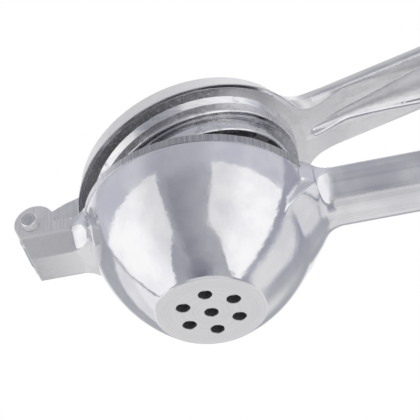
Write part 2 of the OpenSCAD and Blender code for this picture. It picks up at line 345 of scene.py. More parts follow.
def sample(field, low, high, cell, step=5):
    """Field values on a grid, worked out in full only near the surface, and which are inside."""
    shape = [int(math.ceil((h - l) / cell)) + 1 for l, h in zip(low, high)]
    axes = [l + cell * np.arange(k, dtype=np.float32) for l, k in zip(low, shape)]
    coarse = field(*np.meshgrid(*[a[::step] for a in axes], indexing="ij"))
    close = np.abs(coarse) < cell * step * 1.9
    grown = close.copy()
    for axis in range(3):
        for shift in (-1, 1):
            grown |= np.roll(close, shift, axis=axis)
    near, inside = spread(grown, step, shape), spread(coarse < 0, step, shape)
    value = np.ones(shape, np.float32)
    at = np.nonzero(near)
    value[at] = field(*[axis[i] for axis, i in zip(axes, at)])
    inside = np.where(near, value < 0, inside)
    return np.where(near, value, np.where(inside, -1.0, 1.0)).astype(np.float32), inside


def surface_nets(field, low, high, cell):
    """Vertices and quads on the zero surface of a field."""
    value, inside = sample(field, low, high, cell)
    shape = value.shape
    cells = [k - 1 for k in shape]

    # one vertex in each cell that the surface passes, at the mean of the crossings of its edges
    corners = [(i, j, k) for i in (0, 1) for j in (0, 1) for k in (0, 1)]
    count = np.zeros(cells, np.int8)
    for i, j, k in corners:
        count += inside[i:i + cells[0], j:j + cells[1], k:k + cells[2]]
    passed = np.nonzero((count > 0) & (count < 8))
    ids = np.full(cells, -1, np.int32)
    ids[passed] = np.arange(len(passed[0]), dtype=np.int32)
    at_corner = {c: value[tuple(p + o for p, o in zip(passed, c))] for c in corners}
    total, hits = np.zeros((len(passed[0]), 3)), np.zeros(len(passed[0]))
    for a in corners:
        for axis in range(3):
            if a[axis]:
                continue
            b = tuple(1 if t == axis else a[t] for t in range(3))
            va, vb = at_corner[a], at_corner[b]
            crossed = (va < 0) != (vb < 0)
            share = np.where(crossed, va / np.where(crossed, va - vb, 1), 0)
            point = np.array(a, float)[None, :] + share[:, None] * np.eye(3)[axis][None, :]
            total += point * crossed[:, None]
            hits += crossed
    verts = (np.stack(passed, 1) + total / hits[:, None]) * cell + np.array(low)

    # a quad round each grid edge whose two ends lie on opposite sides of the surface
    quads = []
    for axis in range(3):
        o1, o2 = [t for t in range(3) if t != axis]
        along = np.moveaxis(inside, axis, 0)
        edge = np.nonzero(np.moveaxis(along[:-1] != along[1:], 0, axis))
        whole = (edge[o1] > 0) & (edge[o2] > 0)
        whole &= (edge[o1] < shape[o1] - 1) & (edge[o2] < shape[o2] - 1)
        edge = [t[whole] for t in edge]
        around = []
        for d1, d2 in ((-1, -1), (0, -1), (0, 0), (-1, 0)):
            cell_at = list(edge)
            cell_at[o1], cell_at[o2] = edge[o1] + d1, edge[o2] + d2
            around.append(ids[tuple(cell_at)])
        quad = np.stack(around, 1)
        starts_in = inside[tuple(edge)]
        forwards = starts_in if axis != 1 else ~starts_in
        quads.append(np.where(forwards[:, None], quad, quad[:, ::-1]))

    # the vertices then step onto the surface itself
    for _ in range(3):
        g, off = gradient(field, verts)
        shift = (off / np.maximum((g ** 2).sum(1), 0.2))[:, None] * g
        length = np.linalg.norm(shift, axis=1, keepdims=True)
        verts -= shift * np.minimum(1, 0.5 * cell / np.maximum(length, 1e-9))
    return verts, np.concatenate(quads)


def mesh_object(name, verts_mm, faces, normals=None):
    """Object from points in millimetres and equal-sided faces, with its vertex normals if given."""
    mesh = bpy.data.meshes.new(name)
    faces = np.asarray(faces, np.int32)
    sides = faces.shape[1]
    mesh.vertices.add(len(verts_mm))
    mesh.vertices.foreach_set("co", (np.asarray(verts_mm) * MM).astype(np.float32).ravel())
    mesh.loops.add(faces.size)
    mesh.loops.foreach_set("vertex_index", faces.ravel())
    mesh.polygons.add(len(faces))
    mesh.polygons.foreach_set("loop_start", np.arange(0, faces.size, sides, dtype=np.int32))
    mesh.update(calc_edges=True)
    mesh.validate()
    mesh.polygons.foreach_set("use_smooth", np.ones(len(mesh.polygons), bool))
    if normals is not None:
        mesh.normals_split_custom_set_from_vertices(normals)
    obj = bpy.data.objects.new(name, mesh)
    bpy.context.scene.collection.objects.link(obj)
    return obj


def thin_out(obj, most_triangles):
    """Joins the smallest faces until the mesh is light enough."""
    obj.data.calc_loop_triangles()
    count = len(obj.data.loop_triangles)
    if count <= most_triangles:
        return
    mod = obj.modifiers.new("thin_out", "DECIMATE")
    mod.ratio = most_triangles / count
    bpy.context.view_layer.objects.active = obj
    with bpy.context.temp_override(object=obj, active_object=obj):
        bpy.ops.object.modifier_apply(modifier=mod.name)


def opened(points, angle_deg):
    """Turns points or directions about the hinge pin's axis, jaws opening."""
    a = math.radians(angle_deg)
    c, s = math.cos(a), math.sin(a)
    return points @ np.array([[c, 0, s], [0, 1, 0], [-s, 0, c]])


def turned_open(points):
    """Turns points of the shut upper jaw to where it stands at rest."""
    pin = np.array([PIN_X, 0, PIN_Z])
    return opened(points - pin, OPEN_DEG) + pin


def set_marks(mesh, marks):
    """Stores how each vertex is finished, by name, for the materials to read."""
    for name, value in marks.items():
        attribute = mesh.attributes.new(name, "FLOAT", "POINT")
        values = np.broadcast_to(value, len(mesh.vertices)).astype(np.float32)
        attribute.data.foreach_set("value", values)


def cast_piece(name, field, finish, low, high, turn=False):
    """A casting meshed from its field, light enough to keep, with the field's own normals."""
    obj = mesh_object(name, *surface_nets(field, low, high, GRID))
    thin_out(obj, MOST_TRIANGLES)
    mesh = obj.data
    co = np.zeros(len(mesh.vertices) * 3, np.float32)
    mesh.vertices.foreach_get("co", co)
    p = co.reshape(-1, 3).astype(float) / MM
    g, value = gradient(field, p)
    size = np.maximum(np.linalg.norm(g, axis=1, keepdims=True), 1e-6)
    p -= value[:, None] * g / size ** 2 * 0.9
    normals = g / size
    set_marks(mesh, finish(p, normals))
    if turn:
        p = turned_open(p)
        normals = opened(normals, OPEN_DEG)
    mesh.vertices.foreach_set("co", (p * MM).astype(np.float32).ravel())
    mesh.polygons.foreach_set("use_smooth", np.ones(len(mesh.polygons), bool))
    mesh.normals_split_custom_set_from_vertices(normals)
    mesh.update()
    return obj


# ---------------------------------------------------------------- turned pieces
def rounded(corners, steps=4):
    """Closed profile from (radius, height, corner radius), with a normal at each point."""
    points, normals = [], []
    n = len(corners)
    flat = np.array([c[:2] for c in corners], float)
    nxt = np.roll(flat, -1, axis=0)
    if np.sum(flat[:, 0] * nxt[:, 1] - nxt[:, 0] * flat[:, 1]) < 0:
        return rounded(corners[::-1], steps)
    edge = nxt - flat
    out = np.stack([edge[:, 1], -edge[:, 0]], 1)
    out /= np.linalg.norm(out, axis=1, keepdims=True)
    for i in range(n):
        p, a, b = flat[i], flat[i - 1], flat[(i + 1) % n]
        n0, n1 = out[i - 1], out[i]
        u, v = a - p, b - p
        lu, lv = np.linalg.norm(u), np.linalg.norm(v)
        half = math.acos(float(np.clip(u @ v / (lu * lv), -1, 1))) / 2
        cut = min(corners[i][2] / math.tan(half), 0.45 * lu, 0.45 * lv) if half < 1.55 else 0
        if cut < 1e-4:
            points += [p, p]
            normals += [n0, n1]
            continue
        r = cut * math.tan(half)
        bend = 1.0 if n0 @ v < 0 else -1.0
        centre = p + u / lu * cut - n0 * r * bend
        a0 = math.atan2(n0[1], n0[0])
        da = (math.atan2(n1[1], n1[0]) - a0 + math.pi) % (2 * math.pi) - math.pi
        for t in range(steps + 1):
            w = np.array([math.cos(a0 + da * t / steps), math.sin(a0 + da * t / steps)])
            points.append(centre + w * r * bend)
            normals.append(w)
    return np.array(points), np.array(normals)


def lathe(name, corners, segments=288, place=None, finish=None, arc=None):
    """Ring or solid turned about Z from a closed profile, all round or over an arc in degrees."""
    profile, slant = rounded(corners)
    keep = [i for i in range(len(profile)) if np.linalg.norm(profile[i] - profile[i - 1]) > 1e-5]
    profile, slant = profile[keep], slant[keep]
    n = len(profile)
    ang = np.arange(segments) * 2 * math.pi / segments
    if arc:
        ang = np.radians(np.linspace(arc[0], arc[1], segments))
    around = np.stack([np.cos(ang), np.sin(ang)], 1)

    def spun(pair):
        """Carries a (radius, height) for each profile point round the axis."""
        flat = around[:, None, :] * pair[None, :, 0, None]
        up = np.broadcast_to(pair[None, :, 1, None], (segments, n, 1))
        return np.concatenate([flat, up], 2).reshape(-1, 3)

    verts, normals = spun(profile), spun(slant)
    s, k = np.meshgrid(np.arange(segments), np.arange(n), indexing="ij")
    s2, k2 = (s + 1) % segments, (k + 1) % n
    quads = np.stack([s * n + k, s2 * n + k, s2 * n + k2, s * n + k2], 2)
    if arc:
        quads = quads[:-1]
    marks = finish(verts, normals) if finish else {}
    if place:
        verts, normals = place(verts, normals)
    obj = mesh_object(name, verts, quads.reshape(-1, 4), normals)
    set_marks(obj.data, marks)
    return obj


def in_upper_jaw(points, normals):
    """Places a piece turned about the head's own middle into the open upper jaw."""
    return turned_open(points + np.array([HEAD_SHIFT, 0, 0])), opened(normals, OPEN_DEG)


def on_pin_axis(points, normals):
    """Lays a piece turned about Z along the hinge's axis."""
    lie = np.array([[1, 0, 0], [0, 0, 1], [0, -1, 0]])
    return points @ lie + np.array([PIN_X, 0, PIN_Z]), normals @ lie


# ---------------------------------------------------------------- finishes and painted light, by place
# Each mark says how far a finish, a painted shade or a painted highlight is reached, and a mark
# that a piece lacks is 0:
#   dull      satin in place of polish; above 1 it is rougher still
#   ground    ground on a belt
#   raw  as cast, charcoal and rough; in the flange's groove also painted shade
#   shade  painted shade, the colour darkened
#   black  painted shade inside a juice hole
#   lines_up, lines_along, rings      the way the fine lines in the metal run
#   flat      painted light on a turned piece: a painted highlight on the rim band towards the hinge,
#             painted shade on the plunger's flat undersides and on the pin's cut ends
def lower_finish(p, n):
    """Marks of the lower casting at points p with normals n."""
    x, y, z = p.T
    rho = np.hypot(x, y)
    ay = np.abs(y)
    upright = soft_step(np.abs(n[:, 1]), 0.9, 0.97)
    disc = soft_step(-n[:, 2], 0.93, 0.99) * soft_step(z, 0.6, 0.3)
    to_hole = np.min(to_holes(x, y), axis=0)
    # painted shade inside the juice holes
    holes = soft_step(to_hole, 0.12, 0.02) * soft_step(np.abs(n[:, 2]), 0.8, 0.5)
    holes = holes * (z < FLOOR + 1.0)
    lug = soft_step(x, -38.5, -39.2)
    ears = upright * (x < -36.0) * soft_step(ay, LUG_HALF - 0.5, LUG_HALF - 0.2)
    slot = (x < -37.0) * (ay < LUG_HALF - 0.6) * upright
    arc = np.hypot(rho - WALL_C[0], z - WALL_C[1])
    inside = soft_step(arc, WALL_R - WALL_T + 0.6, WALL_R - WALL_T + 0.2) * (z > FLOOR - 0.4)
    channel = (x > 40.0) * soft_step(np.hypot(y, z - LOWER_Z), LOWER_R - 1.2, LOWER_R - 2.2)
    # the handle is ground along its sides; the polished neck and the underside are not
    start = np.interp(z, [25.9, 27.2, 29.7, 35.0], [37.3, 38.1, 38.9, 39.6])
    handle = soft_step(x, start - 0.2, start + 0.3) * (rho > 36.0)
    down = np.degrees(np.arctan2(LOWER_Z - z, ay))
    side = handle * soft_step(down, 58.5, 56.0)
    return {
        "ground": side * (1 - channel),
        # painted shade on the lug's downward faces
        "shade": 0.30 * lug * soft_step(-n[:, 2], 0.5, 0.8),
        "dull": np.maximum.reduce([0.75 * disc, 1.5 * lug, 0.7 * inside]),
        "raw": np.maximum.reduce([0.4 * slot, 0.5 * channel]),
        "black": holes,
        "lines_up": ears,
        "lines_along": handle * (1 - channel),
        "rings": disc,
    }


def upper_finish(p, n):
    """Marks of the upper casting, shut, at points p with normals n."""
    x, y, z = p.T
    rho = np.hypot(x - HEAD_SHIFT, y)
    ay = np.abs(y)
    turn = np.degrees(np.abs(np.arctan2(y, x - HEAD_SHIFT)))
    upright = soft_step(np.abs(n[:, 1]), 0.9, 0.97)
    # the groove under the flange is satin all round, and raw away from the neck, its charcoal
    # partly painted shade of the groove's hollow
    groove = soft_step(rho, LIP_R + 0.1, LIP_R - 0.2) * (rho > 29.0)
    groove = groove * soft_step(-n[:, 2], 0.2, 0.5) * (z < 38.0)
    raw_and_shaded_groove = groove * soft_step(turn, 54, 72) * (0.78 - 0.45 * soft_step(turn, 128, 152))
    wall = soft_step(np.abs(n[:, 2]), 0.75, 0.6)
    wall = wall * (rho > 34.0) * (x > -36.0) * (x < 30.0) * (z < FLANGE_TOP)
    dish = (rho < 33.5) * (n[:, 2] > -0.2) * (z < 43.6)
    tongue = upright * (x < -36.0) * (ay > TONGUE_HALF - 0.5)
    outer = soft_step(n[:, 2], -0.1, 0.2) * (z > UPPER_EDGE) * (z < 46.0)
    outer = outer * soft_step(x, 36.0, 42.0) * (ay > 8.0)
    # the handle's underside is satin, but its outer edges and the channel's far lip are bright,
    # and the channel's near lip is darkened with painted shade
    edge = soft_step(np.hypot(ay - UPPER_HALF, z - UPPER_EDGE), 1.9, 1.3) * (x > 42.0)
    lips = soft_step(np.abs(ay - np.interp(x, TROUGH_X, TROUGH_HALF)), 1.3, 0.5)
    far_lip = lips * (y > 0) * (z < 42.0)
    near_lip = lips * (y < 0) * soft_step(n[:, 1], 0.15, 0.4) * soft_step(x, 41.0, 52.0)
    near_lip = near_lip * (z < 42.0)
    under = soft_step(x, 30.0, 36.0) * soft_step(-n[:, 2], -0.1, 0.3) * (1 - 0.7 * edge)
    under = under * (1 - far_lip)
    return {
        # painted shade: a touch on the flange's wall, more on the back's outer band, most on the
        # channel's near lip
        "shade": np.maximum.reduce([0.05 * wall, 0.45 * outer, 0.9 * near_lip]),
        "dull": np.maximum.reduce([0.9 * wall, 0.8 * tongue, 0.9 * under, 0.8 * dish, groove]),
        "raw": np.maximum.reduce([raw_and_shaded_groove, 0.1 * tongue, 0.15 * dish]),
        "lines_up": tongue,
        "lines_along": soft_step(x, 43.0, 47.0),
    }


def band_finish(p, n):
    """Towards the hinge the rim's ground band is painted lighter, a painted highlight."""
    return {"flat": soft_step(p[:, 0], -12.0, -22.0)}


def plunger_finish(p, n):
    """The flat undersides of the steps get painted shade."""
    flat = soft_step(-n[:, 2], 0.85, 0.97) * (p[:, 2] < UNDER - 3.0)
    return {"flat": flat * soft_step(np.hypot(p[:, 0], p[:, 1]), 12.0, 16.0)}


def lip_finish(p, n):
    """A thin dark line of painted shade runs along the flange's outer corner, with a touch on its
    wall; the wall and inner edge are satin.
    """
    rho = np.hypot(p[:, 0], p[:, 1])
    corner = soft_step(n[:, 2], -0.97, -0.8) * soft_step(n[:, 2], 0.34, 0.0) * (rho > 37.0)
    wall = soft_step(n[:, 2], 0.1, 0.35) * (rho > 36.6)
    inner = soft_step(rho, LIP_R + 0.25, LIP_R + 0.05)
    return {"shade": np.maximum(0.85 * corner, 0.05 * wall), "dull": np.maximum(0.9 * wall, inner)}


def pin_finish(p, n):
    """The pin's two cut ends, which get painted shade."""
    return {"flat": soft_step(np.abs(n[:, 2]), 0.7, 0.95)}


# ---------------------------------------------------------------- the pieces
print("scene: meshing the castings")
lower = cast_piece(
    "lower_casting", lower_field, lower_finish, (-58.0, -38.0, -1.2), (160.0, 38.0, 45.0)
)
upper = cast_piece(
    "upper_casting", upper_field, upper_finish, (-58.0, -39.0, 32.5), (160.0, 39.0, 50.0), turn=True
)
band = lathe("rim_band", [
    (33.9, RIM_H - 1.2, 0), (34.1, RIM_H - BAND_H, 0), (RIM_R, RIM_H - BAND_H, 0.12),
    (RIM_R, RIM_H, 0.35), (33.9, RIM_H, 0.35),
], finish=band_finish)
plunger = lathe(
    "plunger_steps",
    [(r, UNDER - d, c) for r, d, c in STEPS] + [(r, RIM_H - d, c) for r, d, c in DISH],
    place=in_upper_jaw, finish=plunger_finish,
)
lip_low, lip_high = FLANGE_BASE - LIP_PROUD, FLANGE_BASE + LIP_DEEP
lip_edge = FLANGE_R + LIP_PROUD
lip = lathe("flange_lip", [
    (LIP_R + 0.5, lip_high, 0), (LIP_R - 0.3, FLANGE_BASE + 0.7, 0.2), (LIP_R, lip_low, 0.3),
    (lip_edge, lip_low, 0.2), (lip_edge - LIP_DEEP * FLANGE_DRAFT, lip_high, 0),
], segments=240, place=in_upper_jaw, finish=lip_finish, arc=(40.0, 320.0))
pin_tip = [
    (0.02, PIN_HALF, 0), (1.5, PIN_HALF, 0.1), (1.75, PIN_HALF - 0.12, 0.1),
    (PIN_R - 0.25, PIN_HALF - 0.12, 0.15), (PIN_R, PIN_HALF - 0.4, 0.2),
]
pin = lathe(
    "pin_turned", [(r, -h, c) for r, h, c in pin_tip] + pin_tip[::-1],
    segments=96, place=on_pin_axis, finish=pin_finish,
)


# ---------------------------------------------------------------- node making
class Tree:
    """Short calls that make shader nodes and link them."""

    def __init__(self, tree):
        self.nodes, self.links = tree.nodes, tree.links

    def put(self, socket, value):
        """Links a socket, or writes a constant on it."""
        if isinstance(value, bpy.types.NodeSocket):
            self.links.new(value, socket)
        elif isinstance(value, tuple) and len(socket.default_value) == 4:
            socket.default_value = (*value, 1)
        else:
            socket.default_value = value

    def math(self, op, *values):
        """One math node, by its operation."""
        node = self.nodes.new("ShaderNodeMath")
        node.operation = op
        for socket, value in zip(node.inputs, values):
            self.put(socket, value)
        return node.outputs[0]

    def add(self, *values):
        """Sum of all the values."""
        total = values[0]
        for value in values[1:]:
            total = self.math("ADD", total, value)
        return total

    def times(self, *values):
        """Product of all the values."""
        total = values[0]
        for value in values[1:]:
            total = self.math("MULTIPLY", total, value)
        return total

    def ramp(self, value, lo, hi, to=(0.0, 1.0)):
        """Smooth change from to[0] at lo to to[1] at hi; lo may be the larger one."""
        node = self.nodes.new("ShaderNodeMapRange")
        node.interpolation_type = "SMOOTHSTEP"
        if isinstance(lo, (int, float)) and isinstance(hi, (int, float)) and hi < lo:
            lo, hi, to = hi, lo, (to[1], to[0])
        sockets = ("Value", "From Min", "From Max", "To Min", "To Max")
        for socket, v in zip(sockets, (value, lo, hi, *to)):
            self.put(node.inputs[socket], v)
        return node.outputs["Result"]

    def mix(self, factor, a, b):
        """Colour a at 0, colour b at 1."""
        node = self.nodes.new("ShaderNodeMix")
        node.data_type = "RGBA"
        self.put(node.inputs[0], factor)
        self.put(node.inputs[6], a)
        self.put(node.inputs[7], b)
        return node.outputs[2]

    def blend(self, factor, a, b):
        """Number a at 0, number b at 1."""
        node = self.nodes.new("ShaderNodeMix")
        self.put(node.inputs[0], factor)
        self.put(node.inputs[2], a)
        self.put(node.inputs[3], b)
        return node.outputs[0]

    def noise(self, where, size_mm, detail=2.0, stretch=(1, 1, 1)):
        """Noise whose lumps are about size_mm across, drawn out by stretch."""
        mapping = self.nodes.new("ShaderNodeMapping")
        mapping.inputs["Scale"].default_value = [1000 / (size_mm * k) for k in stretch]
        self.links.new(where, mapping.inputs["Vector"])
        node = self.nodes.new("ShaderNodeTexNoise")
        node.inputs["Scale"].default_value = 1.0
        node.inputs["Detail"].default_value = detail
        self.links.new(mapping.outputs[0], node.inputs["Vector"])
        return node.outputs["Factor"] if "Factor" in node.outputs else node.outputs["Fac"]

    def mark(self, name):
        """A mark that the finishes stored on the vertices."""
        node = self.nodes.new("ShaderNodeAttribute")
        node.attribute_name = name
        return node.outputs["Fac"]


def metal(name):
    """New material with its node tree, its shader and the piece's own coordinates."""
    mat = bpy.data.materials.new(name)
    mat.use_nodes = True
    tree = Tree(mat.node_tree)
    shader = tree.nodes["Principled BSDF"]
    shader.inputs["Metallic"].default_value = 1.0
    where = tree.nodes.new("ShaderNodeTexCoord").outputs["Object"]
    return mat, tree, shader, where


def dress(tree, shader, colour, roughness, height_mm):
    """Links a metal's colour, roughness and relief, given in millimetres, to its shader."""
    bump = tree.nodes.new("ShaderNodeBump")
    bump.inputs["Distance"].default_value = MM
    tree.put(bump.inputs["Height"], height_mm)
    tree.put(shader.inputs["Base Color"], colour)
    tree.put(shader.inputs["Roughness"], roughness)
    tree.links.new(bump.outputs[0], shader.inputs["Normal"])


# ---------------------------------------------------------------- materials
POLISHED = (0.91, 0.91, 0.92)
POLISHED_DULL = (0.80, 0.80, 0.835)
SATIN = (0.86, 0.86, 0.865)
# charcoal of the raw casting; in the flange's groove it also stands for painted shade
RAW = (0.17, 0.17, 0.185)
RAW_LIGHT = (0.55, 0.55, 0.56)
# painted shade inside the juice holes
HOLE_SHADE = (0.20, 0.20, 0.21)
SHADED = (0.30, 0.30, 0.33)
RIM_LINE, RIM_LIGHT, RIM_PATCH = (0.34, 0.34, 0.37), (0.60, 0.60, 0.62), (0.48, 0.48, 0.49)
# painted highlight on the rim's ground band towards the hinge
PAINTED_HIGHLIGHT_LINE, PAINTED_HIGHLIGHT_LIGHT = (0.70, 0.70, 0.73), (0.84, 0.84, 0.86)
TURNED_LINE = (0.80, 0.80, 0.83)
PIN_DARK, PIN_LIGHT = (0.90, 0.90, 0.90), (0.97, 0.97, 0.97)


def cast_aluminium():
    """Hand-polished casting: cloudy and slightly wavy, with satin, ground and raw places, and
    painted shade in places.
    """
    mat, t, shader, where = metal("cast_aluminium_polished")
    dull, raw, black = t.mark("dull"), t.mark("raw"), t.mark("black")
    up, along, rings = t.mark("lines_up"), t.mark("lines_along"), t.mark("rings")
    ground, shade = t.mark("ground"), t.mark("shade")
    clouds = t.noise(where, 11.0, 3.0)
    mottle = t.noise(where, 1.6, 3.0)
    scratch_up = t.noise(where, 0.45, 2.0, (1, 1, 40))
    scratch_along = t.noise(where, 0.9, 3.0, (60, 1, 1))
    streak = t.noise(where, 4.5, 2.0, (25, 1, 1))
    radius = t.nodes.new("ShaderNodeVectorMath")
    radius.operation = "LENGTH"
    t.links.new(where, radius.inputs[0])
    ring_at = t.nodes.new("ShaderNodeCombineXYZ")
    t.links.new(radius.outputs["Value"], ring_at.inputs[0])
    ring = t.noise(ring_at.outputs[0], 0.8, 2.0)

    colour = t.mix(t.ramp(clouds, 0.35, 0.65), POLISHED_DULL, POLISHED)
    colour = t.mix(dull, colour, SATIN)
    lined = t.add(
        t.times(up, t.ramp(scratch_up, 0.35, 0.65, (0.12, -0.06))),
        t.times(along, t.ramp(scratch_along, 0.35, 0.65, (0.07, -0.04))),
        t.times(along, t.ramp(streak, 0.38, 0.62, (0.09, -0.06))),
        t.times(rings, t.ramp(ring, 0.4, 0.6, (0.07, 0.0))),
    )
    colour = t.mix(lined, colour, RAW)
    # raw charcoal; in the flange's groove partly painted shade
    lighter = t.times(t.ramp(mottle, 0.42, 0.66), t.math("SUBTRACT", 1.25, raw))
    colour = t.mix(raw, colour, t.mix(lighter, RAW, RAW_LIGHT))
    fleck = t.ramp(t.noise(where, 0.8, 3.0), 0.56, 0.68)
    colour = t.mix(t.times(t.ramp(raw, 0.2, 0.5), fleck, 0.55), colour, SATIN)
    # painted shade, where the marks lay it on
    colour = t.mix(shade, colour, SHADED)
    # painted shade inside the juice holes
    colour = t.mix(black, colour, HOLE_SHADE)

    rough = t.add(
        t.ramp(clouds, 0.3, 0.7, (0.05, 0.13)),
        t.times(dull, t.ramp(mottle, 0.3, 0.7, (0.32, 0.42))),
        t.times(ground, t.ramp(streak, 0.35, 0.65, (0.22, 0.32))),
    )
    rough = t.blend(raw, rough, 0.5)
    rough = t.blend(black, rough, 0.7)

    relief = t.add(
        t.times(t.noise(where, 16.0, 1.0), 0.07),
        t.times(t.noise(where, 4.2, 1.5), 0.055),
        t.times(t.noise(where, 1.5, 2.0), 0.021),
        t.times(along, scratch_along, 0.004),
        t.times(up, scratch_up, 0.006),
        t.times(raw, mottle, 0.05),
    )
    dress(t, shader, colour, rough, relief)
    return mat


def ground_rim():
    """The rim is ground on a belt: fine upright lines, duller than the polished bowl."""
    mat, t, shader, where = metal("rim_ground")
    line = t.noise(where, 0.35, 2.0, (1, 1, 60))
    patch = t.noise(where, 9.0, 2.0)
    bright = t.ramp(line, 0.3, 0.7)
    colour = t.mix(bright, RIM_LINE, RIM_LIGHT)
    colour = t.mix(t.ramp(patch, 0.4, 0.7, (0.0, 0.5)), colour, RIM_PATCH)
    # painted highlight towards the hinge
    colour = t.mix(t.mark("flat"), colour, t.mix(bright, PAINTED_HIGHLIGHT_LINE, PAINTED_HIGHLIGHT_LIGHT))
    dress(t, shader, colour, t.ramp(line, 0.3, 0.7, (0.42, 0.30)), t.times(line, 0.004))
    return mat


def turned_steps():
    """The plunger's rings: turned bright, with dull cast patches left between the cuts and painted
    shade on the flat undersides.
    """
    mat, t, shader, where = metal("plunger_turned")
    patch = t.ramp(t.noise(where, 5.0, 4.0), 0.50, 0.62)
    mottle = t.noise(where, 1.0, 3.0)
    ring = t.noise(where, 0.6, 2.0, (30, 30, 1))
    colour = t.mix(t.ramp(ring, 0.35, 0.65), TURNED_LINE, POLISHED)
    colour = t.mix(t.times(patch, 0.6), colour, t.mix(t.ramp(mottle, 0.4, 0.6), RAW_LIGHT, SATIN))
    # painted shade on the steps' flat undersides, lighter where the mottle is high
    colour = t.mix(t.times(t.mark("flat"), t.ramp(mottle, 0.3, 0.7, (1.0, 0.75))), colour, SHADED)
    rough = t.blend(patch, t.ramp(ring, 0.3, 0.7, (0.12, 0.2)), 0.36)
    relief = t.add(
        t.times(ring, 0.003), t.times(patch, mottle, 0.03), t.times(t.noise(where, 5.0, 1.0), 0.012)
    )
    dress(t, shader, colour, rough, relief)
    return mat


def pin_steel():
    """Bright turned steel, its two cut ends darkened with painted shade."""
    mat, t, shader, where = metal("pin_steel_turned")
    mottle = t.noise(where, 1.2, 3.0)
    colour = t.mix(t.ramp(mottle, 0.35, 0.65), PIN_DARK, PIN_LIGHT)
    # painted shade on the two cut ends
    colour = t.mix(t.times(t.mark("flat"), 0.5), colour, SHADED)
    dress(t, shader, colour, t.ramp(mottle, 0.3, 0.7, (0.34, 0.44)), t.times(mottle, 0.0004))
    return mat


ALUMINIUM, RIM, TURNED, STEEL = cast_aluminium(), ground_rim(), turned_steps(), pin_steel()
for piece, mat in (
    (lower, ALUMINIUM), (upper, ALUMINIUM), (band, RIM),
    (plunger, TURNED), (lip, ALUMINIUM), (pin, STEEL),
):
    piece.data.materials.clear()
    piece.data.materials.append(mat)

# ---------------------------------------------------------------- riding
for o in (lower, band):
    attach(o, "lower")
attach(pin, "lower")
for o in (upper, plunger, lip):
    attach(o, "upper")
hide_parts("lower_jaw")
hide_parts("lower_jaw")
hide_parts("upper_jaw")
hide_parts("upper_jaw")
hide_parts("upper_jaw")
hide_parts("hinge_pin")

# ---------------------------------------------------------------- light
# between the softboxes, under them and over them
GAP = (0.31, 0.31, 0.355)
GAP_SIDE = (0.42, 0.42, 0.46)
UNDER_GAP = (0.21, 0.215, 0.26)
UNDER_BOXES = (0.47, 0.47, 0.50)
OVER_GAP = (0.43, 0.43, 0.48)
OVER_BOXES = (0.60, 0.605, 0.66)
OVER_HIGH = (0.48, 0.48, 0.525)
SOFTBOX = (1.02, 1.02, 1.02)
SOFTBOX_EDGE = (0.80, 0.80, 0.81)
# the softboxes' edges, in degrees of elevation and azimuth
SOFTBOX_TOP = 8.0
LEFT_BOX = (-104.0, -30.0)
RIGHT_BOX_END = 87.0
# behind them, and the ceiling
STRIPE = (0.38, 0.38, 0.45)
FAR_WALL = (0.43, 0.435, 0.47)
FAR_LEFT = (0.80, 0.80, 0.82)
FAR_LEFT_LOW = (0.97, 0.97, 0.98)
FAR_RIGHT = (0.75, 0.75, 0.76)
FAR_LOW = (0.74, 0.74, 0.745)
FAR_LOW_RIGHT = (0.745, 0.745, 0.755)
BACKDROP = (0.93, 0.93, 0.93)
NADIR = (0.70, 0.70, 0.71)
CEILING = (0.74, 0.74, 0.75)
WHITE = (1.0, 1.0, 1.0)
# the floor's colour and glow, then its half width and height in metres
FLOOR_PAPER = (0.90, 0.90, 0.895)
FLOOR_GLOW = 0.34
FLOOR_HALF = 4.0
FLOOR_LEVEL = -0.0006


